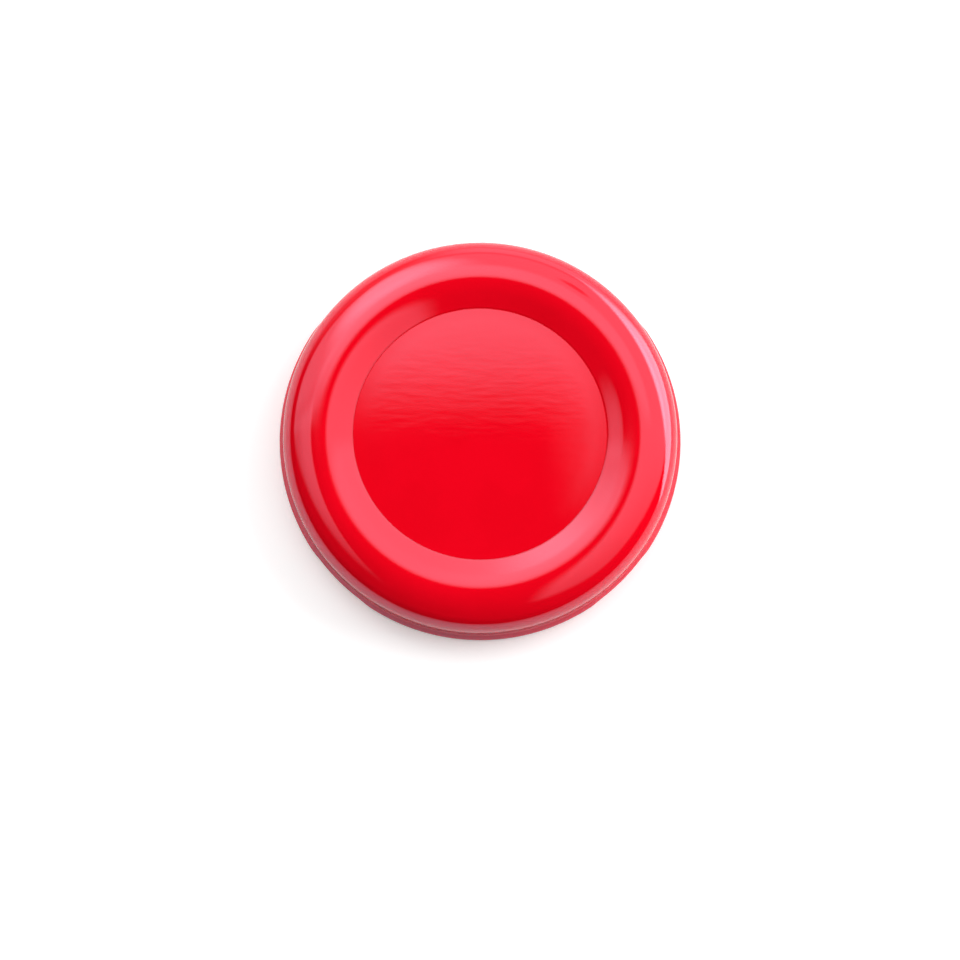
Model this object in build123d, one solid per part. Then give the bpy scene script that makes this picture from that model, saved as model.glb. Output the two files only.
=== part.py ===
from build123d import *

import math
import os

# A twist-off lug cap for a glass jar, standing as it lies on a table: top side up, on its curl.
# Lengths are millimetres and angles are degrees. +Z is the cap's axis, and z = 0 is the plane
# that the curl rests on. A section is drawn in the plane y = 0, where x is the radius.

# Driving dimensions of the pressed sheet
sheet = 0.18                # thickness of the lacquered steel sheet
rim_diameter = 66.2         # over the curl, the widest place of the cap
cap_height = 9.5            # from the curl's underside to the top of the crown
shoulder_width = 6.4        # from the skirt's outer wall in to the crown's highest circle
shoulder_break = 25.0       # slope at which the gentle top of the shoulder turns into its tight bend
shoulder_bend = 3.5         # radius of that tight bend, on the sheet's middle
slope_width = 5.3           # from the crown's highest circle in to the edge of the flat panel
crown_bend = 13.0           # radius with which the crown turns down to the slope
panel_depth = 0.8           # from the crown down to the flat panel
crease_bend = 1.5           # radius of the crease where the panel turns up to the slope

# Driving dimensions of the curl
curl_stand_out = 0.8        # how far the curl stands out past the skirt
curl_diameter = 1.7         # of the roll, over its outside
flare_angle = 45.0          # how far the sheet leans out above the curl
flare_bend = 0.8            # radius of the bend where it starts to lean
curl_foot = 0.1             # flat stretch that the roll rests on
curl_wrap = 130.0           # how far the roll goes on after its foot
curl_edge = 0.1             # straight stretch before the cut edge
skirt_joint = 0.2           # cylinder kept between the skirt and the flare

# Driving dimensions of the lugs, which are pressed inwards from the curl
lug_count = 4
lug_first_angle = 45.0      # where the first lug stands, from +X
lug_reach = 3.3             # from the outside of the curl in to the lug's tip
lug_length = 8.5            # of the full lug, along the rim
lug_run_out = 2.8           # along the rim, from the full lug to the plain curl, at each end
lug_fold_bend = 0.24        # radius of the fold at the tip
lug_lean = 10.0             # how far the folded-back layer rises towards the skirt
lug_return = 1.2            # length of the folded-back layer
lug_flat = 0.15             # how far the outside of the curl is pressed in at a lug
run_out_steps = 3           # sections that the run-out passes through

# Driving dimensions of the sealing compound
seal_depth = 0.8            # from the underside of the crown to the compound's flat face
seal_width = 7.6            # from the skirt's inner wall in to where the flat face ends
seal_taper = 35.0           # slope of the compound's inner edge, up to the sheet

# Radii and levels of the sheet's middle, worked out from the sizes above
half_sheet = sheet / 2
curl_radius = curl_diameter / 2 - half_sheet
skirt_radius = rim_diameter / 2 - curl_stand_out - half_sheet
crown_radius = rim_diameter / 2 - curl_stand_out - shoulder_width
crown_level = cap_height - half_sheet
panel_radius = crown_radius - slope_width
panel_level = cap_height - panel_depth - half_sheet
seal_level = cap_height - sheet - seal_depth

# Headings of a walk along the section
OUTWARDS = 0.0
DOWNWARDS = -90.0
INWARDS = -180.0


def along(heading, length):
    """The step of this length at this heading, as (radius, level)."""
    return (
        length * math.cos(math.radians(heading)),
        length * math.sin(math.radians(heading)),
    )


def moved(point, step):
    """The point after a step."""
    return (point[0] + step[0], point[1] + step[1])


class SheetWalk:
    """The middle of a bent sheet, walked in straight runs and bends.

    A bend turns left when its turn is positive. Both faces of the sheet are read off beside
    the walk, half a thickness to its left and to its right, so the wall stays even.
    """

    def __init__(self, point, heading):
        self.point = point
        self.heading = heading
        self.stretches = []

    def state(self):
        return (self.point, self.heading)

    def run(self, length):
        """A straight run of this length."""
        before = self.state()
        middle = moved(self.point, along(self.heading, length / 2))
        self.point = moved(self.point, along(self.heading, length))
        self.stretches.append((before, (middle, self.heading), self.state(), True))

    def run_to_radius(self, radius):
        """A straight run that ends at this radius."""
        self.run((radius - self.point[0]) / math.cos(math.radians(self.heading)))

    def run_to_level(self, level):
        """A straight run that ends at this level."""
        self.run((level - self.point[1]) / math.sin(math.radians(self.heading)))

    def bend(self, radius, turn):
        """An arc of this radius, through this turn."""
        before = self.state()
        side = math.copysign(90.0, turn)
        centre = moved(self.point, along(self.heading + side, radius))
        places = []
        for share in (0.5, 1.0):
            heading = before[1] + turn * share
            places.append((moved(centre, along(heading - side, radius)), heading))
        self.point, self.heading = places[1]
        self.stretches.append((before, places[0], places[1], False))

    def beside(self, place, offset):
        """The point of one face of the sheet beside a place of the walk."""
        point, heading = place
        radius, level = moved(point, along(heading + 90.0, offset))
        return Vector(radius, 0, level)

    def face_edges(self, offset):
        """The edges of one face of the sheet."""
        edges = []
        for start, middle, end, straight in self.stretches:
            first = self.beside(start, offset)
            last = self.beside(end, offset)
            if straight:
                edges.append(Edge.make_line(first, last))
            else:
                edges.append(Edge.make_three_point_arc(first, self.beside(middle, offset), last))
        return edges

    def section(self):
        """The sheet's own cut face: its two sides and the two ends that join them."""
        left = self.face_edges(half_sheet)
        right = self.face_edges(-half_sheet)
        ends = [
            Edge.make_line(left[0] @ 0, right[0] @ 0),
            Edge.make_line(left[-1] @ 1, right[-1] @ 1),
        ]
        return Face(Wire(left + right + ends))


def common_tangent(left_centre, left_radius, right_centre, right_radius):
    """Heading of the run from a left-hand bend to a right-hand bend, given their centres."""
    across = right_centre[0] - left_centre[0]
    up = right_centre[1] - left_centre[1]
    lean = math.asin((left_radius + right_radius) / math.hypot(across, up))
    return math.degrees(math.atan2(up, across) + lean)


def flare_start_level(curl_centre_radius):
    """Level where the skirt has to start leaning out, to meet the curl along a tangent."""
    meets = moved((curl_centre_radius, curl_diameter / 2), along(flare_angle, curl_radius))
    bend_step = flare_bend * (1 - math.cos(math.radians(flare_angle)))
    run_step = meets[0] - skirt_radius - bend_step
    run_drop = run_step / math.tan(math.radians(flare_angle))
    return meets[1] + run_drop + flare_bend * math.sin(math.radians(flare_angle))


plain_curl_centre = rim_diameter / 2 - curl_diameter / 2
skirt_bottom = flare_start_level(plain_curl_centre) + skirt_joint


def walk_panel_to_skirt():
    """The drawn body: flat panel, crease, slope, crown, shoulder and skirt."""
    walk = SheetWalk((0.0, panel_level), OUTWARDS)
    walk.run_to_radius(panel_radius)
    crease_centre = (panel_radius, panel_level + crease_bend)
    crown_centre = (crown_radius, crown_level - crown_bend)
    slope = common_tangent(crease_centre, crease_bend, crown_centre, crown_bend)
    walk.bend(crease_bend, slope)
    crown_start = moved(crown_centre, along(slope + 90.0, crown_bend))
    walk.run_to_radius(crown_start[0])
    walk.bend(crown_bend, -slope)
    break_sine = math.sin(math.radians(shoulder_break))
    tight_width = shoulder_bend * (1 - break_sine)
    gentle_bend = (skirt_radius - crown_radius - tight_width) / break_sine
    walk.bend(gentle_bend, -shoulder_break)
    walk.bend(shoulder_bend, shoulder_break + DOWNWARDS)
    walk.run_to_level(skirt_bottom)
    return walk


def walk_rim(pressed):
    """The rim under the skirt: the plain curl at pressed = 0, and the full lug at 1.

    The same blank length is rolled into a curl or folded into a lug, so both have the same
    stretches, and the run-out between them takes a share of each.
    """

    def between(curl_value, lug_value):
        return curl_value + (lug_value - curl_value) * pressed

    bead_centre = plain_curl_centre - lug_flat * pressed
    tip_centre = rim_diameter / 2 - lug_reach + half_sheet + lug_fold_bend
    walk = SheetWalk((skirt_radius, skirt_bottom), DOWNWARDS)
    walk.run_to_level(flare_start_level(bead_centre))
    walk.bend(flare_bend, flare_angle)
    bead_start = moved((bead_centre, 0.0), along(flare_angle, curl_radius))
    walk.run_to_radius(bead_start[0])
    walk.bend(curl_radius, INWARDS - walk.heading)
    walk.run(between(curl_foot, bead_centre - tip_centre))
    walk.bend(between(curl_radius, lug_fold_bend), -between(curl_wrap, 180.0 - lug_lean))
    walk.run(between(curl_edge, lug_return))
    return walk


def rim_section(pressed, angle):
    """The rim's cut face, turned to its place round the axis."""
    return walk_rim(pressed).section().rotate(Axis.Z, angle)


def swept_section(section, arc):
    """The section turned round the axis through this arc."""
    return revolve(section, axis=Axis.Z, revolution_arc=arc)


def run_out(start_angle, arc, pressed_from, pressed_to):
    """The stretch between curl and lug, which eases in and out along the rim."""
    sections = []
    for step in range(run_out_steps + 1):
        share = step / run_out_steps
        eased = share * share * (3 - 2 * share)
        pressed = pressed_from + (pressed_to - pressed_from) * eased
        sections.append(rim_section(pressed, start_angle + arc * share))
    return loft(sections, ruled=True)


def make_rim_pitch():
    """One pitch of the rim: a lug, its two run-outs, and the plain curl up to the next lug."""
    arc_per_length = 360.0 / (math.pi * rim_diameter)
    lug_arc = lug_length * arc_per_length
    run_arc = lug_run_out * arc_per_length
    plain_arc = 360.0 / lug_count - lug_arc - 2 * run_arc
    lug_start = lug_first_angle - lug_arc / 2
    lug_end = lug_start + lug_arc
    lug = swept_section(rim_section(1.0, lug_start), lug_arc)
    run_in = run_out(lug_start - run_arc, run_arc, 0.0, 1.0)
    run_back = run_out(lug_end, run_arc, 1.0, 0.0)
    plain_curl = swept_section(rim_section(0.0, lug_end + run_arc), plain_arc)
    return lug.fuse(run_in, run_back, plain_curl)


def make_cap_shell():
    """One pressed piece of lacquered steel."""
    body = swept_section(walk_panel_to_skirt().section(), 360.0)
    rim_pitch = make_rim_pitch()
    pitch = 360.0 / lug_count
    return body.fuse(*[rim_pitch.rotate(Axis.Z, index * pitch) for index in range(lug_count)])


def make_sealing_ring():
    """The compound that was poured into the upturned channel, up to a level face.

    The space under the sheet is filled above the seal's level, so the ring has the crown's
    own curves on top and lies against the sheet all over. Its inner edge tapers to nothing.
    """
    under = walk_panel_to_skirt().face_edges(-half_sheet)
    axis_top = under[0] @ 0
    skirt_end = under[-1] @ 1
    axis_foot = Vector(0, 0, skirt_end.Z)
    closing = [Edge.make_line(skirt_end, axis_foot), Edge.make_line(axis_foot, axis_top)]
    space = swept_section(Face(Wire(under + closing)), 360.0)
    inner = skirt_radius - half_sheet - seal_width
    taper = (cap_height - seal_level) / math.tan(math.radians(seal_taper))
    corners = [
        Vector(inner, 0, seal_level),
        Vector(rim_diameter / 2, 0, seal_level),
        Vector(rim_diameter / 2, 0, cap_height),
        Vector(inner - taper, 0, cap_height),
    ]
    filling = swept_section(Face(Wire.make_polygon(corners)), 360.0)
    return space & filling


os.makedirs("parts", exist_ok=True)
export_step(make_cap_shell(), "parts/cap_shell.step")
export_step(make_sealing_ring(), "parts/sealing_ring.step")
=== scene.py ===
# %% [markdown]
# A lug cap is the shallow metal lid of a jam or pickle jar. It is pressed from one disc of
# lacquered steel, 0.18 mm thick: a flat panel set a little deep, a raised crown round it, a
# rounded shoulder, a short upright skirt, and a rim that is rolled inwards into a hollow curl.
# At four places the curl is folded flat and pushed inwards, which makes the lugs that hook
# under the thread of the glass. Inside, under the crown, lies a ring of soft sealing compound.
#
# The frame below is the same cap as a measured solid. It is the ruler for everything here: the
# two pieces that this file makes stand exactly where the frame's two parts stand.

# %% Load the measured frame
import math

import bpy
import numpy as np
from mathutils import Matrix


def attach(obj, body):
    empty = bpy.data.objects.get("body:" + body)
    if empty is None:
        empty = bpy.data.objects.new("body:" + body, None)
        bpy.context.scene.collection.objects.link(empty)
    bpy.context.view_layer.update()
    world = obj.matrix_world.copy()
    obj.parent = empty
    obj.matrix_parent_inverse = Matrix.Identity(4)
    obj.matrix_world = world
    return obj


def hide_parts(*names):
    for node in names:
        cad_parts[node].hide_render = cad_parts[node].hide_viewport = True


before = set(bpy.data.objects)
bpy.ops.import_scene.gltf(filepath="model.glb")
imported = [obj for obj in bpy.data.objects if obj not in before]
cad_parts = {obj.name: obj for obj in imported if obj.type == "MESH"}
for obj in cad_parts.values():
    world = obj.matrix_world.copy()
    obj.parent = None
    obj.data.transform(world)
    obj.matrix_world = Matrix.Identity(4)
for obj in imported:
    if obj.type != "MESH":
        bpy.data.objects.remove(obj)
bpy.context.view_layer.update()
print("frame parts:", sorted(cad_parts))

# %% [markdown]
# Blender works in metres here, and a cap is described in millimetres, so every size is written
# in millimetres times MM. They are the same sizes that the solid was built from, which is why
# the fine surface made here and the plain solid lie on each other. One thing is added: a thin
# panel is never quite flat, and in the photograph the edge of a lamp ends softly across it. So
# it gets a faint belly, which leans PANEL_BELLY at its edge. The solid keeps it flat.

# %% Sizes of the pressed sheet
MM = 0.001
SHEET = 0.18 * MM
HALF_SHEET = SHEET / 2
RIM_RADIUS = 66.2 * MM / 2
CAP_HEIGHT = 9.5 * MM
SHOULDER_WIDTH = 6.4 * MM
SHOULDER_BREAK = math.radians(25.0)
SHOULDER_BEND = 3.5 * MM
SLOPE_WIDTH = 5.3 * MM
CROWN_BEND = 13.0 * MM
PANEL_DEPTH = 0.8 * MM
CREASE_BEND = 1.5 * MM
PANEL_BELLY = math.radians(1.6)

# %% Sizes of the curl
CURL_STAND_OUT = 0.8 * MM
CURL_DIAMETER = 1.7 * MM
CURL_FOOT = 0.1 * MM
CURL_WRAP = math.radians(130.0)
CURL_EDGE = 0.1 * MM
FLARE_ANGLE = math.radians(45.0)
FLARE_BEND = 0.8 * MM

# %% Sizes of the lugs and of the sealing compound
LUG_COUNT = 4
FIRST_LUG = math.radians(45.0)
LUG_REACH = 3.3 * MM
LUG_LENGTH = 8.5 * MM
LUG_RUN_OUT = 2.8 * MM
LUG_FOLD_BEND = 0.24 * MM
LUG_LEAN = math.radians(10.0)
LUG_RETURN = 1.2 * MM
LUG_FLAT = 0.15 * MM
SEAL_DEPTH = 0.8 * MM
SEAL_WIDTH = 7.6 * MM
SEAL_TAPER = math.radians(35.0)

# %% Radii and levels that follow from them
CURL_RADIUS = CURL_DIAMETER / 2 - HALF_SHEET
CURL_CENTRE = RIM_RADIUS - CURL_DIAMETER / 2
SKIRT_RADIUS = RIM_RADIUS - CURL_STAND_OUT - HALF_SHEET
CROWN_RADIUS = RIM_RADIUS - CURL_STAND_OUT - SHOULDER_WIDTH
CROWN_LEVEL = CAP_HEIGHT - HALF_SHEET
PANEL_RADIUS = CROWN_RADIUS - SLOPE_WIDTH
PANEL_LEVEL = CAP_HEIGHT - PANEL_DEPTH - HALF_SHEET
SEAL_LEVEL = CAP_HEIGHT - SHEET - SEAL_DEPTH
SEAL_INNER = SKIRT_RADIUS - HALF_SHEET - SEAL_WIDTH
print("panel radius in mm:", round(PANEL_RADIUS / MM, 2))
print("circle inside the lugs in mm:", round(2 * (RIM_RADIUS - LUG_REACH) / MM, 2))

# %% [markdown]
# A bent sheet is easiest to describe as a walk: so far straight on, then a bend of this radius
# through this angle, then straight on again. Walking the middle of the sheet and reading both
# of its faces half a thickness to the left and to the right keeps the wall even everywhere, as
# rolling steel does. A cap could also be a bevelled cylinder with a Solidify modifier, but then
# the curl and the lugs would be guesses, and the thickness would swell in the bends.
#
# The walk is done for all directions round the cap at once. Each place on it is a row of
# numbers, one for every direction, so the rim can be a curl in one direction and a lug in
# another.

# %% A walk along the sheet


class SheetWalk:
    """Rows of (radius, level, heading), each an array with one value per direction.

    A run adds length times (cos heading, sin heading). A bend turns the heading evenly about a
    centre that lies one bend radius to the side it turns to. A face of the sheet is every place
    moved by half a thickness, at a right angle to the heading.
    """

    def __init__(self, radius, level, heading, columns):
        self.radius = np.full((1, columns), radius)
        self.level = np.full((1, columns), level)
        self.heading = np.full((1, columns), heading)

    def add_rows(self, radius, level, heading):
        self.radius = np.vstack([self.radius, radius])
        self.level = np.vstack([self.level, level])
        self.heading = np.vstack([self.heading, heading])

    def run(self, length, rows):
        """Straight on by this length, in this many steps."""
        step = np.linspace(0.0, 1.0, rows + 1)[1:, None] * length
        heading = self.heading[-1] + 0.0 * step
        radius = self.radius[-1] + step * np.cos(heading)
        self.add_rows(radius, self.level[-1] + step * np.sin(heading), heading)

    def bend(self, bend_radius, turn, rows):
        """An arc of this radius through this turn, to the left when the turn is positive."""
        side = np.sign(turn) * math.pi / 2
        centre_radius = self.radius[-1] + bend_radius * np.cos(self.heading[-1] + side)
        centre_level = self.level[-1] + bend_radius * np.sin(self.heading[-1] + side)
        heading = self.heading[-1] + np.linspace(0.0, 1.0, rows + 1)[1:, None] * turn
        radius = centre_radius - bend_radius * np.cos(heading + side)
        self.add_rows(radius, centre_level - bend_radius * np.sin(heading + side), heading)

    def face(self, offset):
        """One face of the sheet, to the left of the walk where the offset is positive."""
        radius = self.radius - offset * np.sin(self.heading)
        return radius, self.level + offset * np.cos(self.heading)


# %% [markdown]
# Two runs have to end exactly where the next bend begins. The slope between the panel's crease
# and the crown touches both of their arcs, and the flare above the curl touches the curl. Both
# are worked out with school geometry, as in a drawing office.

# %% The two places that need working out


def slope_heading(crease_centre, crown_centre):
    """Heading of the line that touches a left-hand and a right-hand arc.

    It is the heading from centre to centre, plus the angle whose sine is the sum of the radii
    divided by the distance between the centres.
    """
    across = crown_centre[0] - crease_centre[0]
    up = crown_centre[1] - crease_centre[1]
    lean = math.asin((CREASE_BEND + CROWN_BEND) / math.hypot(across, up))
    return math.atan2(up, across) + lean


def flare_start(curl_centre):
    """Level where the skirt starts to lean out, so that the flare meets the curl smoothly."""
    meets_radius = curl_centre + CURL_RADIUS * math.cos(FLARE_ANGLE)
    meets_level = CURL_DIAMETER / 2 + CURL_RADIUS * math.sin(FLARE_ANGLE)
    bend_step = FLARE_BEND * (1 - math.cos(FLARE_ANGLE))
    run_drop = (meets_radius - SKIRT_RADIUS - bend_step) / math.tan(FLARE_ANGLE)
    return meets_level + run_drop + FLARE_BEND * math.sin(FLARE_ANGLE)


print("the skirt leans out below, in mm:", round(flare_start(CURL_CENTRE) / MM, 3))

# %% [markdown]
# The lugs have smooth run-outs at both ends. The share by which the rim is pressed is 0 in the
# plain curl and 1 in a lug, and it eases between them with 3t^2 - 2t^3, so the metal leaves the
# curl and reaches the lug without a corner. The directions stand closer together in the
# run-outs, where the shape changes, than in the long plain stretches between the lugs.

# %% Directions round the cap, and how far the rim is pressed in each
PLAIN_COLUMNS = 60
RUN_OUT_COLUMNS = 14
HALF_LUG_COLUMNS = 6

lug_arc = LUG_LENGTH / RIM_RADIUS
run_arc = LUG_RUN_OUT / RIM_RADIUS
pitch = 2 * math.pi / LUG_COUNT
plain_arc = pitch - lug_arc - 2 * run_arc
arcs = [lug_arc / 2, run_arc, plain_arc, run_arc, lug_arc / 2]
counts = [
    HALF_LUG_COLUMNS,
    RUN_OUT_COLUMNS,
    PLAIN_COLUMNS,
    RUN_OUT_COLUMNS,
    HALF_LUG_COLUMNS,
]
knots = np.concatenate([[0.0], np.cumsum(arcs)])
one_pitch = np.concatenate(
    [
        np.linspace(start, end, count, endpoint=False)
        for start, end, count in zip(knots[:-1], knots[1:], counts)
    ]
)
turns = FIRST_LUG + pitch * np.arange(LUG_COUNT)
directions = (turns[:, None] + one_pitch).ravel()
from_lug = np.abs((directions - FIRST_LUG + pitch / 2) % pitch - pitch / 2)
share = np.clip((lug_arc / 2 + run_arc - from_lug) / run_arc, 0.0, 1.0)
pressed = share * share * (3 - 2 * share)
print("directions:", len(directions), "of them in a full lug:", int((pressed > 0.999).sum()))

# %% [markdown]
# Now the walk itself, from the middle of the panel out over the crown and down to the rim. The
# bends that catch the light, which are the crown and the shoulder, get the most rows, because a
# glossy surface shows every facet. The belly of the panel is one large arc, and the crease
# begins where that arc ends, so its centre stands at a right angle to the belly's edge.

# %% Walk the drawn body
PANEL_ROWS = 12
CREASE_ROWS = 10
SLOPE_ROWS = 4
CROWN_ROWS = 12
GENTLE_SHOULDER_ROWS = 12
TIGHT_SHOULDER_ROWS = 18


def walk_body(columns):
    """Panel, crease, slope, crown and shoulder, the same in every direction.

    The belly's radius is the panel's radius divided by the sine of the belly's angle, and
    its middle rises by that radius times (1 - cosine of the angle).
    """
    belly_bend = PANEL_RADIUS / math.sin(PANEL_BELLY)
    belly_rise = belly_bend * (1 - math.cos(PANEL_BELLY))
    walk = SheetWalk(0.0, PANEL_LEVEL + belly_rise, 0.0, columns)
    walk.bend(belly_bend, -PANEL_BELLY, PANEL_ROWS)
    crease_centre = (
        PANEL_RADIUS + CREASE_BEND * math.sin(PANEL_BELLY),
        PANEL_LEVEL + CREASE_BEND * math.cos(PANEL_BELLY),
    )
    crown_centre = (CROWN_RADIUS, CROWN_LEVEL - CROWN_BEND)
    slope = slope_heading(crease_centre, crown_centre)
    walk.bend(CREASE_BEND, PANEL_BELLY + slope, CREASE_ROWS)
    slope_end = crown_centre[0] - CROWN_BEND * math.sin(slope)
    walk.run((slope_end - walk.radius[-1]) / math.cos(slope), SLOPE_ROWS)
    walk.bend(CROWN_BEND, -slope, CROWN_ROWS)
    break_sine = math.sin(SHOULDER_BREAK)
    tight_width = SHOULDER_BEND * (1 - break_sine)
    gentle_bend = (SKIRT_RADIUS - CROWN_RADIUS - tight_width) / break_sine
    walk.bend(gentle_bend, -SHOULDER_BREAK, GENTLE_SHOULDER_ROWS)
    walk.bend(SHOULDER_BEND, SHOULDER_BREAK - math.pi / 2, TIGHT_SHOULDER_ROWS)
    print("slope of the recess in degrees:", round(math.degrees(slope), 1))
    print("rise of the panel's belly in mm:", round(belly_rise / MM, 2))
    return walk


# %% Walk on down the skirt and round the rim
SKIRT_ROWS = 3
FLARE_ROWS = 6
ROLL_ROWS = 16
FOOT_ROWS = 3
FOLD_ROWS = 14
EDGE_ROWS = 2


def walk_rim(walk, pressed):
    """The curl where pressed is 0 and the folded lug where it is 1.

    Both have the same stretches, and a run-out takes a share of each. A lug uses about 2 mm
    more of the sheet than the curl does, which a real lug, pressed from the curl, wouldn't.
    """

    def between(curl_value, lug_value):
        return curl_value + (lug_value - curl_value) * pressed

    bead_centre = CURL_CENTRE - LUG_FLAT * pressed
    tip_centre = RIM_RADIUS - LUG_REACH + HALF_SHEET + LUG_FOLD_BEND
    walk.run(walk.level[-1] - flare_start(bead_centre), SKIRT_ROWS)
    walk.bend(FLARE_BEND, FLARE_ANGLE, FLARE_ROWS)
    bead_start = bead_centre + CURL_RADIUS * math.cos(FLARE_ANGLE)
    walk.run((bead_start - walk.radius[-1]) / math.cos(FLARE_ANGLE), 1)
    walk.bend(CURL_RADIUS, -math.pi / 2 - FLARE_ANGLE, ROLL_ROWS)
    walk.run(between(CURL_FOOT, bead_centre - tip_centre), FOOT_ROWS)
    turn = -between(CURL_WRAP, math.pi - LUG_LEAN)
    walk.bend(between(CURL_RADIUS, LUG_FOLD_BEND), turn, FOLD_ROWS)
    walk.run(between(CURL_EDGE, LUG_RETURN), EDGE_ROWS)


walk = walk_body(len(directions))
walk_rim(walk, pressed)
print("rows along the sheet:", len(walk.radius))

# %% [markdown]
# The rows become a closed surface. The outer face runs from the middle of the panel to the cut
# edge, the inner face runs back, and a point at each end closes the middle. The four corners of
# every face come from shifting one grid of point numbers, so there is no loop over the points.

# %% Turn rows and directions into a mesh
SHARP_ANGLE = math.radians(40.0)


def grid_points(radius, level, directions):
    """x = radius cos(direction), y = radius sin(direction), z = level, row by row."""
    x = radius * np.cos(directions)
    y = radius * np.sin(directions)
    return np.stack([x, y, level + 0.0 * x], -1).reshape(-1, 3)


def grid_quads(grid, next_grid):
    """Corners (row, direction), (next row, direction), and the same one direction further."""
    corners = [grid, next_grid, np.roll(next_grid, -1, axis=1), np.roll(grid, -1, axis=1)]
    return np.stack(corners, -1).reshape(-1, 4)


def fan(pole, row, upwards):
    """Triangles from one pole point to a row of points."""
    beside = np.roll(row, -1)
    second, third = (row, beside) if upwards else (beside, row)
    return np.stack([np.full_like(row, pole), second, third], -1)


def new_piece(name, points, faces, materials, face_material):
    """A mesh object at the origin, smooth except where faces meet beyond SHARP_ANGLE."""
    mesh = bpy.data.meshes.new(name)
    mesh.from_pydata(points.tolist(), [], faces)
    for material in materials:
        mesh.materials.append(material)
    mesh.polygons.foreach_set("material_index", face_material.astype(np.int32))
    mesh.shade_smooth()
    mesh.set_sharp_from_angle(angle=SHARP_ANGLE)
    mesh.update()
    piece = bpy.data.objects.new(name, mesh)
    bpy.context.scene.collection.objects.link(piece)
    print(name, "has", len(mesh.polygons), "faces")
    return piece


# %% [markdown]
# Every material here is a small program of nodes that reads the object's own coordinates, so it
# stays on the metal when the camera moves, and needs no pictures. These few helpers keep the
# programs short: one makes a node and sets its inputs, the others are sums, products and soft
# steps, the distance from the cap's axis, and seen_rays. Floor and backdrop look white only to
# the rays that seen_rays lets through, so they show as white without lighting the cap.

# %% Helpers for node programs


class Nodes:
    """Builds nodes in one tree. An input given as a socket is linked, any other is set."""

    def __init__(self, tree):
        self.tree = tree
        tree.nodes.clear()

    def add(self, kind, inputs=None, output=0, **settings):
        node = self.tree.nodes.new(kind)
        for key, value in settings.items():
            setattr(node, key, value)
        for key, value in (inputs or {}).items():
            if isinstance(value, bpy.types.NodeSocket):
                self.tree.links.new(value, node.inputs[key])
            else:
                node.inputs[key].default_value = value
        return node.outputs[output] if node.outputs else None

    def calculate(self, operation, *values):
        return self.add("ShaderNodeMath", dict(enumerate(values)), operation=operation)

    def product(self, first, *others):
        for other in others:
            first = self.calculate("MULTIPLY", first, other)
        return first

    def total(self, first, *others):
        for other in others:
            first = self.calculate("ADD", first, other)
        return first

    def soft_step(self, value, start, end, low=0.0, high=1.0):
        """low before start, high after end, and an S-curve between; start may exceed end."""
        inputs = {0: value, 1: start, 2: end, 3: low, 4: high}
        if start > end:
            inputs = {0: value, 1: end, 2: start, 3: high, 4: low}
        return self.add("ShaderNodeMapRange", inputs, interpolation_type="SMOOTHSTEP")


def seen_rays(nodes):
    """1 for camera, mirror and glass rays, and 0 for the rays that carry light to a surface."""
    rays = nodes.tree.nodes.new("ShaderNodeLightPath").outputs
    camera_or_mirror = nodes.calculate("MAXIMUM", rays["Is Camera Ray"], rays["Is Glossy Ray"])
    return nodes.calculate("MAXIMUM", camera_or_mirror, rays["Is Transmission Ray"])


def square_root_sum(nodes, first, second):
    """The square root of first squared plus second squared."""
    squares = nodes.total(nodes.product(first, first), nodes.product(second, second))
    return nodes.calculate("SQRT", squares)


def distance_from_axis(nodes, place):
    """How far a place of the object lies from the cap's axis, in metres."""
    coordinates = nodes.tree.nodes.new("ShaderNodeSeparateXYZ")
    nodes.tree.links.new(place, coordinates.inputs[0])
    return square_root_sum(nodes, coordinates.outputs[0], coordinates.outputs[1])


def colour_mix(nodes, share, first, second):
    """The first colour where the share is 0 and the second where it is 1."""
    inputs = {0: share, 6: first, 7: second}
    return nodes.add("ShaderNodeMix", inputs, output=2, data_type="RGBA")


def new_material(name):
    material = bpy.data.materials.new(name)
    material.use_nodes = True
    return material, Nodes(material.node_tree)


# %% [markdown]
# The outside is red stoving enamel, rolled on the flat sheet and baked before it is pressed. It
# is a deep clear-bodied paint, so it needs a smooth dielectric gloss over a saturated colour. On
# the real cap the reflections are nearly sharp, but not quite straight: enamel keeps a faint
# orange peel, and rolling leaves shallow waves on the flat panel, across which the edge of a
# reflection breaks into short streaks. Both are height patterns in a Bump node. The waves are a
# noise that is stretched along X and fades before the panel's edge.
#
# The index is higher than a real enamel's 1.5, and the gloss has a tint. Both are fitted: with
# the usual values the lamps had to be so strong for their reflections that the red clipped. The
# thin line of darker red on the crease is painted shade: the crease's bend alone shows its thin
# shadow too faintly.

# %% Red enamel
ENAMEL_RED = (0.86, 0.0003, 0.0100, 1.0)
ENAMEL_DEEP = (0.83, 0.0002, 0.0090, 1.0)
# The darker red of the crease line is painted shade, not a colour of the enamel.
CREASE_RED = (0.68, 0.0002, 0.0060, 1.0)
GLOSS_TINT = (1.0, 0.74, 1.0, 1.0)
ENAMEL_IOR = 1.7
ENAMEL_ROUGHNESS = 0.04
CREASE_LINE_FULL = 0.10 * MM
CREASE_LINE_FADES = 0.28 * MM
CREASE_LINE_ENDS = 0.38 * MM
CLOUD_SCALE = 90.0
PEEL_SCALE = 500.0
PEEL_HEIGHT = 0.002 * MM
WAVE_SCALE = 900.0
WAVE_HEIGHT = 0.0048 * MM
WAVE_STRETCH = (0.25, 1.0, 1.0)
WAVES_FADE = PANEL_RADIUS - 4 * MM
WAVES_END = PANEL_RADIUS - 1 * MM

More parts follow.
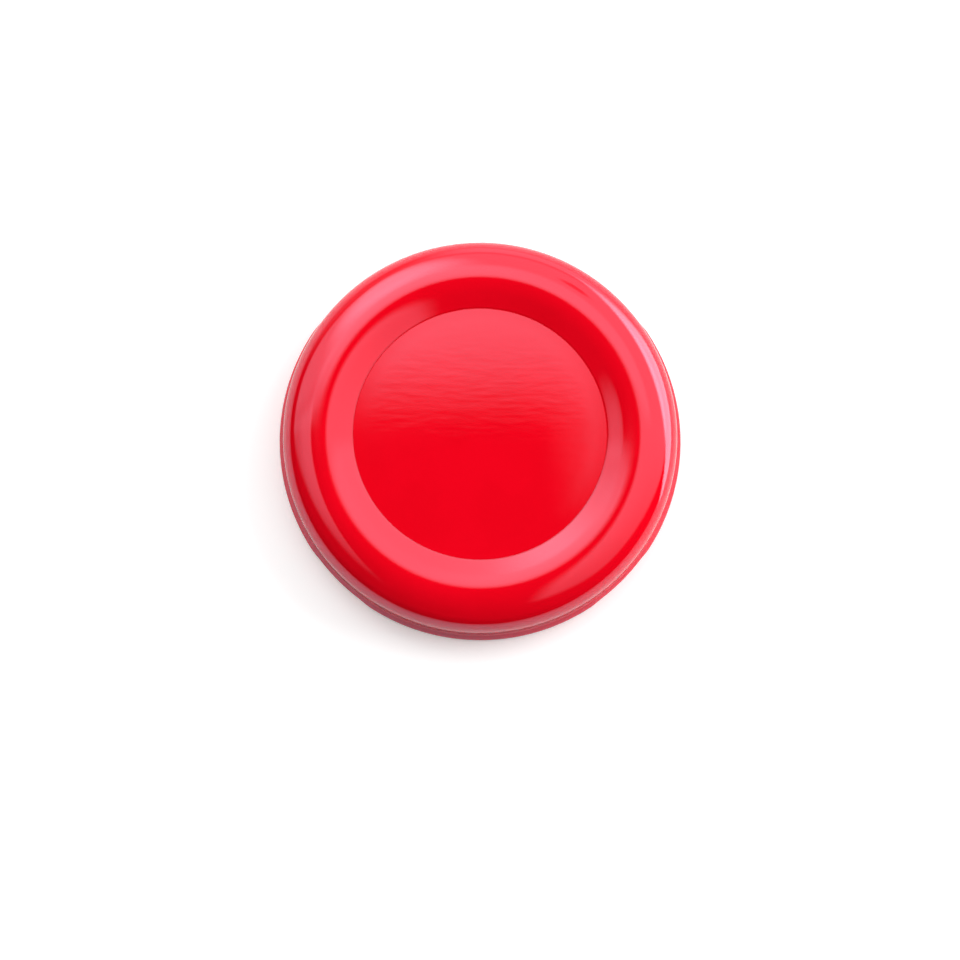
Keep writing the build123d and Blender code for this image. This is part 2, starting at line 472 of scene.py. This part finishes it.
enamel, nodes = new_material("red_stoving_enamel")
place = nodes.add("ShaderNodeTexCoord", output="Object")
far_out = distance_from_axis(nodes, place)
cloud = nodes.add("ShaderNodeTexNoise", {"Vector": place, "Scale": CLOUD_SCALE, "Detail": 3.0})
enamel_tint = colour_mix(nodes, nodes.soft_step(cloud, 0.40, 0.62), ENAMEL_RED, ENAMEL_DEEP)
# Painted shade: a thin ring of darker red on the crease stands in for the crease's thin shadow.
in_crease = nodes.product(
    nodes.soft_step(far_out, PANEL_RADIUS, PANEL_RADIUS + CREASE_LINE_FULL),
    nodes.soft_step(
        far_out, PANEL_RADIUS + CREASE_LINE_ENDS, PANEL_RADIUS + CREASE_LINE_FADES
    ),
)
# The base colour mixes the enamel's random tone with the painted shade of the crease line.
tint = colour_mix(nodes, in_crease, enamel_tint, CREASE_RED)
peel = nodes.add("ShaderNodeTexNoise", {"Vector": place, "Scale": PEEL_SCALE, "Detail": 1.0})
stretched = nodes.add("ShaderNodeMapping", {"Vector": place, "Scale": WAVE_STRETCH})
waves = nodes.add(
    "ShaderNodeTexNoise", {"Vector": stretched, "Scale": WAVE_SCALE, "Detail": 1.0}
)
on_panel = nodes.soft_step(far_out, WAVES_FADE, WAVES_END, 1.0, 0.0)
peel_bump = nodes.add(
    "ShaderNodeBump", {"Strength": 1.0, "Distance": PEEL_HEIGHT, "Height": peel}
)
wave_bump = nodes.add(
    "ShaderNodeBump",
    {
        "Strength": 1.0,
        "Distance": WAVE_HEIGHT,
        "Height": nodes.product(waves, on_panel),
        "Normal": peel_bump,
    },
)
shader = nodes.add(
    "ShaderNodeBsdfPrincipled",
    {
        "Base Color": tint,
        "Roughness": ENAMEL_ROUGHNESS,
        "IOR": ENAMEL_IOR,
        "Specular Tint": GLOSS_TINT,
        "Normal": wave_bump,
    },
)
nodes.add("ShaderNodeOutputMaterial", {"Surface": shader})
print("enamel nodes:", len(nodes.tree.nodes))

# %% [markdown]
# The inside carries a thin gold lacquer that keeps the food off the tin. It is transparent, so
# the metal below shines through it: a metallic shader with a warm tint. The cut edge of the
# sheet was made by shears after painting and is bare, so it is a narrow grey steel line.

# %% Gold lacquer inside
GOLD_PALE = (0.80, 0.62, 0.34, 1.0)
GOLD_WARM = (0.74, 0.56, 0.28, 1.0)
STREAK_SCALE = 900.0
STREAK_STRETCH = (0.1, 1.0, 1.0)
STREAK_HEIGHT = 0.003 * MM

gold, nodes = new_material("gold_inside_lacquer")
place = nodes.add("ShaderNodeTexCoord", output="Object")
stretched = nodes.add("ShaderNodeMapping", {"Vector": place, "Scale": STREAK_STRETCH})
streaks = nodes.add(
    "ShaderNodeTexNoise", {"Vector": stretched, "Scale": STREAK_SCALE, "Detail": 2.0}
)
gold_tint = colour_mix(nodes, nodes.soft_step(streaks, 0.35, 0.65), GOLD_PALE, GOLD_WARM)
gold_bump = nodes.add(
    "ShaderNodeBump", {"Strength": 1.0, "Distance": STREAK_HEIGHT, "Height": streaks}
)
shader = nodes.add(
    "ShaderNodeBsdfPrincipled",
    {
        "Base Color": gold_tint,
        "Metallic": 1.0,
        "Roughness": 0.3,
        "Coat Weight": 0.6,
        "Coat Roughness": 0.12,
        "Normal": gold_bump,
    },
)
nodes.add("ShaderNodeOutputMaterial", {"Surface": shader})

# %% The bare cut edge
STEEL_DARK = (0.42, 0.42, 0.43, 1.0)
STEEL_LIGHT = (0.58, 0.58, 0.58, 1.0)
GRAIN_SCALE = 3000.0

bare, nodes = new_material("bare_cut_steel")
place = nodes.add("ShaderNodeTexCoord", output="Object")
grain = nodes.add("ShaderNodeTexNoise", {"Vector": place, "Scale": GRAIN_SCALE})
shader = nodes.add(
    "ShaderNodeBsdfPrincipled",
    {
        "Base Color": colour_mix(nodes, grain, STEEL_DARK, STEEL_LIGHT),
        "Metallic": 1.0,
        "Roughness": 0.45,
    },
)
nodes.add("ShaderNodeOutputMaterial", {"Surface": shader})

# %% [markdown]
# With the materials ready, the pressing can be assembled. Both faces of the walk follow each
# other as one list of rows. The row where they meet is the cut edge, so the number of the row
# also says which material a face takes.

# %% The pressing
ENAMEL_SLOT, GOLD_SLOT, BARE_SLOT = 0, 1, 2

outer_radius, outer_level = walk.face(HALF_SHEET)
inner_radius, inner_level = walk.face(-HALF_SHEET)
radius = np.vstack([outer_radius[1:], inner_radius[:0:-1]])
level = np.vstack([outer_level[1:], inner_level[:0:-1]])
columns = len(directions)
grid = np.arange(radius.size).reshape(radius.shape)
poles = np.array([[0.0, 0.0, outer_level[0, 0]], [0.0, 0.0, inner_level[0, 0]]])
points = np.vstack([grid_points(radius, level, directions), poles])
top_fan = fan(radius.size, grid[0], True)
bottom_fan = fan(radius.size + 1, grid[-1], False)
faces = grid_quads(grid[:-1], grid[1:]).tolist() + top_fan.tolist() + bottom_fan.tolist()

outer_strips = len(walk.radius) - 2
strip_material = np.full(len(grid) - 1, GOLD_SLOT)
strip_material[:outer_strips] = ENAMEL_SLOT
strip_material[outer_strips] = BARE_SLOT
face_material = np.concatenate(
    [
        np.repeat(strip_material, columns),
        np.full(columns, ENAMEL_SLOT),
        np.full(columns, GOLD_SLOT),
    ]
)
pressing = new_piece("cap_pressing", points, faces, [enamel, gold, bare], face_material)
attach(pressing, "root")
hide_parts("cap_shell")

# %% [markdown]
# The sealing compound is poured as a paste into the upturned cap while it spins, and baked. Its
# upper side has the crown's own shape, its free face is level with a very slight hollow, and
# its inner edge thins out to nothing. Its outline is a closed loop of (radius, level), carried
# round the axis.

# %% Outline of the compound
SEAL_HOLLOW = 0.06 * MM
SEAL_ROWS = 36
TAPER_ROWS = 8
TOP_ROWS = 26
SEAL_COLUMNS = 320
FEATHER_TRIES = 2001
FEATHER_SEARCH = 2 * MM
ROUNDING = 1e-9

under_radius, under_level = (rows[:, 0] for rows in walk.face(-HALF_SHEET))
body_rows = int(np.argmax(under_radius >= SKIRT_RADIUS - HALF_SHEET - ROUNDING))
under_radius, under_level = under_radius[:body_rows], under_level[:body_rows]
outer_part = under_radius > CROWN_RADIUS
seal_outer = float(
    np.interp(-SEAL_LEVEL, -under_level[outer_part], under_radius[outer_part])
)
tries = np.linspace(SEAL_INNER - FEATHER_SEARCH, SEAL_INNER, FEATHER_TRIES)
taper_level = SEAL_LEVEL + (SEAL_INNER - tries) * math.tan(SEAL_TAPER)
meets_sheet = np.interp(tries, under_radius, under_level) > taper_level
feather = float(tries[np.argmax(meets_sheet)])

across = np.linspace(0.0, 1.0, SEAL_ROWS)
face_radius = seal_outer + (SEAL_INNER - seal_outer) * across
hollow = np.clip(np.sin(math.pi * across), 0.0, 1.0) ** 0.5
face_level = SEAL_LEVEL + SEAL_HOLLOW * hollow
taper_radius = np.linspace(SEAL_INNER, feather, TAPER_ROWS + 1)[1:]
taper_rise = SEAL_LEVEL + (SEAL_INNER - taper_radius) * math.tan(SEAL_TAPER)
top_radius = np.linspace(feather, seal_outer, TOP_ROWS + 2)[1:-1]
top_level = np.interp(top_radius, under_radius, under_level)
loop_radius = np.concatenate([face_radius, taper_radius, top_radius])
loop_level = np.concatenate([face_level, taper_rise, top_level])
print("compound from", round(feather / MM, 2), "to", round(seal_outer / MM, 2), "mm")

# %% [markdown]
# Cured compound is a soft cream plastic with a dull sheen, slightly uneven in colour, and its
# surface shows the fine rings of the spinning pour. The rings are a wave of the distance from
# the axis, with a little noise so that they are not perfect.

# %% Sealing compound
CREAM_PALE = (0.80, 0.76, 0.66, 1.0)
CREAM_DEEP = (0.73, 0.69, 0.58, 1.0)
RING_SPACING = 0.9 * MM
RING_WOBBLE = 5.0
RING_HEIGHT = 0.01 * MM
SPECKLE_SCALE = 260.0

compound, nodes = new_material("sealing_compound")
place = nodes.add("ShaderNodeTexCoord", output="Object")
far_out = distance_from_axis(nodes, place)
speckle = nodes.add(
    "ShaderNodeTexNoise", {"Vector": place, "Scale": SPECKLE_SCALE, "Detail": 4.0}
)
phase = nodes.product(far_out, 2 * math.pi / RING_SPACING)
rings = nodes.calculate("SINE", nodes.total(phase, nodes.product(speckle, RING_WOBBLE)))
cream = colour_mix(nodes, nodes.soft_step(speckle, 0.3, 0.7), CREAM_PALE, CREAM_DEEP)
ring_relief = nodes.total(rings, speckle)
ring_bump = nodes.add(
    "ShaderNodeBump", {"Strength": 1.0, "Distance": RING_HEIGHT, "Height": ring_relief}
)
shader = nodes.add(
    "ShaderNodeBsdfPrincipled",
    {"Base Color": cream, "Roughness": 0.42, "IOR": 1.5, "Normal": ring_bump},
)
nodes.add("ShaderNodeOutputMaterial", {"Surface": shader})

# %% The compound ring
seal_directions = np.linspace(0.0, 2 * math.pi, SEAL_COLUMNS, endpoint=False)
points = grid_points(loop_radius[:, None], loop_level[:, None], seal_directions)
grid = np.arange(len(points)).reshape(len(loop_radius), SEAL_COLUMNS)
faces = grid_quads(grid, np.roll(grid, -1, axis=0)).tolist()
ring = new_piece("compound_ring", points, faces, [compound], np.zeros(len(faces)))
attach(ring, "root")
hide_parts("sealing_ring")

# %% [markdown]
# The floor is a wide white sweep. Its diffuse white keeps the soft shadow of the cap. A small
# glow of its own lifts the open floor to the clean white of a studio picture. Only the rays of
# seen_rays find that glow, so no extra light falls on the cap. The price is a rim that is paler
# than the photograph's, because glossy metal shows the white floor too.

# %% Floor
FLOOR_RADIUS = 4.0
FLOOR_WHITE = 0.86
FLOOR_LIFT = 0.36
FLOOR_CORNERS = 96

angles = np.linspace(0.0, 2 * math.pi, FLOOR_CORNERS, endpoint=False)
rim = np.column_stack([np.cos(angles), np.sin(angles), 0.0 * angles]) * FLOOR_RADIUS
floor_mesh = bpy.data.meshes.new("studio_floor")
floor_mesh.from_pydata(rim.tolist(), [], [list(range(len(angles)))])
floor = bpy.data.objects.new("studio_floor", floor_mesh)
bpy.context.scene.collection.objects.link(floor)

white, nodes = new_material("studio_white")
paper = nodes.add(
    "ShaderNodeBsdfDiffuse", {"Color": (FLOOR_WHITE, FLOOR_WHITE, FLOOR_WHITE, 1.0)}
)
glow = nodes.add(
    "ShaderNodeEmission", {"Strength": nodes.product(seen_rays(nodes), FLOOR_LIFT)}
)
both = nodes.add("ShaderNodeAddShader", {0: paper, 1: glow})
nodes.add("ShaderNodeOutputMaterial", {"Surface": both})
floor_mesh.materials.append(white)

# %% [markdown]
# A glossy cap is mostly a picture of the lamps round it, so the lighting is where the likeness
# is won. All of it is painted on the world, as if on the inside of a dome: east is the angle
# from the zenith towards +X and north the angle towards +Y, both in degrees, so that a lamp is
# an area on a flat map of the dome. The places and strengths below were found by following the
# photograph's reflections back over the cap, and then by trying.

# %% A map of the dome
world = bpy.data.worlds.new("studio_dome")
bpy.context.scene.world = world
world.use_nodes = True
nodes = Nodes(world.node_tree)
direction = nodes.tree.nodes.new("ShaderNodeSeparateXYZ")
nodes.tree.links.new(
    nodes.add("ShaderNodeTexCoord", output="Generated"), direction.inputs[0]
)
dx, dy, dz = direction.outputs
level_length = nodes.calculate("MAXIMUM", square_root_sum(nodes, dx, dy), 1e-6)
zenith = nodes.product(nodes.calculate("ARCCOSINE", dz), math.degrees(1.0))
degrees_per_length = nodes.calculate("DIVIDE", zenith, level_length)
east = nodes.product(dx, degrees_per_length)
north = nodes.product(dy, degrees_per_length)

# %% Two shapes to draw on the map


def beyond(line_start, line_end, softness):
    """1 to the right of a line on the map, seen from its start to its end, and 0 to its left."""
    along_east = line_end[0] - line_start[0]
    along_north = line_end[1] - line_start[1]
    length = math.hypot(along_east, along_north)
    right_east, right_north = along_north / length, -along_east / length
    distance = nodes.total(
        nodes.product(east, right_east),
        nodes.product(north, right_north),
        -(line_start[0] * right_east + line_start[1] * right_north),
    )
    return nodes.soft_step(distance, -softness, softness)


def spot(centre_east, centre_north, inner, outer):
    """1 within the inner distance of a place on the map, fading to 0 at the outer one."""
    away_east = nodes.calculate("SUBTRACT", east, centre_east)
    away_north = nodes.calculate("SUBTRACT", north, centre_north)
    distance = square_root_sum(nodes, away_east, away_north)
    return nodes.soft_step(distance, inner, outer, 1.0, 0.0)


# %% [markdown]
# The main light is a wide scrim over the far side. It is brighter straight overhead, dimmer
# towards the west, and has one dull fleck. Two dimmer wings stand to its right and left, each
# cut off by straight edges and fading towards the near side. A lamp shines through the scrim at
# the upper left, with a weak glow beside it. A tall window stands low at the right, and a band
# of far light lies under the scrim. The near side stays dark, where camera and photographer
# stand. Below the horizon the dome has the plain white haze of a bright room.
#
# LAMP_LEVEL sets all lamps together, so that a colour renders about as it is written.

# %% The lamps on the map
LAMP_LEVEL = 0.79

fleck = nodes.calculate("SUBTRACT", 1.0, nodes.product(spot(18.0, 37.0, 1.5, 4.5), 0.7))
overhead = nodes.total(1.8, nodes.product(spot(0.0, 8.4, 20.0, 28.0), 0.7))
west_dim = nodes.calculate(
    "SUBTRACT",
    1.0,
    nodes.product(
        nodes.soft_step(east, -14.0, -5.0, 0.42, 0.0),
        nodes.soft_step(north, 11.0, 19.0, 1.0, 0.0),
    ),
)
scrim = nodes.product(
    overhead,
    west_dim,
    nodes.soft_step(north, 8.3, 12.5),
    nodes.soft_step(zenith, 11.5, 15.5, 0.73, 1.0),
    nodes.soft_step(zenith, 54.0, 62.0, 1.0, 0.0),
    beyond((-62.0, 23.0), (-34.0, 47.0), 4.0),
    fleck,
)
right_wing = nodes.product(
    beyond((9.8, -17.3), (4.9, 8.4), 2.6),
    beyond((52.0, -4.0), (34.0, -22.0), 3.0),
    nodes.soft_step(north, 8.3, 12.5, 1.0, 0.0),
    nodes.soft_step(north, -30.0, -22.0),
    nodes.soft_step(zenith, 50.0, 58.0, 1.0, 0.0),
    nodes.soft_step(north, -24.0, 12.0, 0.85, 1.8),
)
left_wing = nodes.product(
    nodes.soft_step(east, -23.0, -19.5, 1.0, 0.0),
    beyond((-25.0, -21.0), (-42.0, -4.0), 4.0),
    nodes.soft_step(north, 8.3, 16.0, 1.0, 0.0),
    nodes.soft_step(zenith, 52.0, 62.0, 1.0, 0.0),
    nodes.soft_step(north, -30.0, 12.0, 0.05, 1.7),
    nodes.soft_step(east, -48.0, -33.0, 0.62, 1.0),
)
lamp = nodes.product(spot(-18.0, 38.7, 6.0, 20.0), 3.3)
lamp_glow = nodes.product(spot(-11.0, 25.0, 2.0, 20.0), 0.85)
window = nodes.product(
    beyond((50.0, 10.0), (30.0, 50.0), 3.0),
    beyond((85.0, -20.0), (50.0, 10.0), 3.0),
    nodes.soft_step(zenith, 86.0, 92.0, 1.0, 0.0),
    nodes.soft_step(north, 44.0, 62.0, 1.0, 0.0),
    nodes.soft_step(north, 30.0, 58.0, 7.6, 5.5),
)
far_band = nodes.product(
    nodes.soft_step(zenith, 57.0, 62.0),
    nodes.soft_step(zenith, 80.0, 92.0, 1.0, 0.0),
    nodes.soft_step(east, -28.0, 2.0, 0.25, 1.0),
    nodes.soft_step(north, 30.0, 55.0),
    2.2,
)

# %% The room below the horizon, and the white backdrop
haze = nodes.soft_step(zenith, 86.0, 89.0, 0.02, 1.0)
lamps = nodes.total(scrim, right_wing, left_wing, lamp, lamp_glow, window, far_band)
backdrop = nodes.product(seen_rays(nodes), nodes.soft_step(zenith, 79.0, 83.0))
brightness = nodes.calculate(
    "MAXIMUM", nodes.total(nodes.product(lamps, LAMP_LEVEL), haze), backdrop
)
background = nodes.add(
    "ShaderNodeBackground", {"Color": (1.0, 1.0, 1.0, 1.0), "Strength": brightness}
)
nodes.add("ShaderNodeOutputWorld", {"Surface": background})
print("dome nodes:", len(nodes.tree.nodes))

# %% [markdown]
# The picture was taken almost from above, about eight degrees off the axis, with the cap's
# middle a little above the middle of the frame. The camera stands that way, far enough off for
# the nearly parallel view of a long lens, and aims a little in front of the cap instead of
# shifting the picture. Its lens follows from the width of the rim in the picture.

# %% Camera
IMAGE_SIZE = 960
CAMERA_ELEVATION = math.radians(82.3)
CAMERA_DISTANCE = 0.600
PANEL_PIXEL = (480.15, 433.45)
RIM_PIXELS = 200.55
SENSOR = 36.0

panel_centre = np.array([0.0, 0.0, CAP_HEIGHT - PANEL_DEPTH])
forward = np.array([0.0, math.cos(CAMERA_ELEVATION), -math.sin(CAMERA_ELEVATION)])
upward = np.array([0.0, math.sin(CAMERA_ELEVATION), math.cos(CAMERA_ELEVATION)])
rightward = np.array([1.0, 0.0, 0.0])
rim_depth = (panel_centre[2] - CURL_DIAMETER / 2) * math.sin(CAMERA_ELEVATION)
focal_pixels = RIM_PIXELS * (CAMERA_DISTANCE + rim_depth) / RIM_RADIUS
metres_per_pixel = CAMERA_DISTANCE / focal_pixels
aim = (
    panel_centre
    - rightward * (PANEL_PIXEL[0] - IMAGE_SIZE / 2) * metres_per_pixel
    - upward * (IMAGE_SIZE / 2 - PANEL_PIXEL[1]) * metres_per_pixel
)

camera_data = bpy.data.cameras.new("camera")
camera_data.sensor_width = SENSOR
camera_data.lens = focal_pixels * SENSOR / IMAGE_SIZE
camera = bpy.data.objects.new("camera", camera_data)
bpy.context.scene.collection.objects.link(camera)
camera.location = (aim - forward * CAMERA_DISTANCE).tolist()
camera.rotation_euler = (math.pi / 2 - CAMERA_ELEVATION, 0.0, 0.0)
bpy.context.scene.camera = camera
bpy.context.scene.view_settings.view_transform = "Standard"
print("lens in mm:", round(camera_data.lens, 1))
